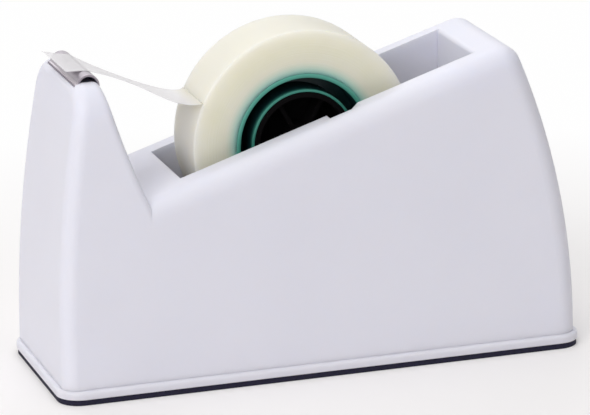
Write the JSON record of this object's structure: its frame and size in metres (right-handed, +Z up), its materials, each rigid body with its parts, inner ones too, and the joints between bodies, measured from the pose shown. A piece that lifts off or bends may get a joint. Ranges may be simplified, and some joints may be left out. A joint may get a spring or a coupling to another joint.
{
  "type": "tape dispenser",
  "caption": "Weighted desk dispenser for a small roll of clear tape, with a serrated cutter on its tower and a roll that turns on a lift-out axle.",
  "frame": {"origin": "centre of the footprint on the table, under the anti-slip pad", "axes": "+X from the cutter end to the rear, +Y across the width, +Z up"},
  "size_m": [0.1352, 0.051, 0.084],
  "materials": {
    "white_abs": "moulded, soft gloss",
    "pad_foam": "fine foam, dull",
    "ballast_stone": "cast cement",
    "zinc_steel": "zinc plated",
    "blade_steel": "rolled strip",
    "hub_black": "moulded",
    "core_green": "translucent",
    "wound_tape": "wound film, milky",
    "tape_film": "clear film"
  },
  "bodies": {
    "root": {"housing": "white_abs", "base_plate": "white_abs", "anti_slip_pad": "pad_foam", "ballast_block": "ballast_stone", "base_screws": "zinc_steel", "cutter_blade": "blade_steel", "tape_strip": "tape_film"},
    "axle": {"axle_pin": "zinc_steel"},
    "roll": {"hub": "hub_black", "tape_core": "core_green", "tape_roll": "wound_tape"}
  },
  "joints": [
    {"name": "roll_lift_out", "type": "slide", "parent": "root", "child": "axle", "axis": [0.7071, 0, 0.7071], "range_m": [0, 0.017]},
    {"name": "roll_spin", "type": "hinge", "parent": "axle", "child": "roll", "pos_m": [0, 0, 0.0558], "axis": [0, 1, 0], "continuous": true}
  ]
}
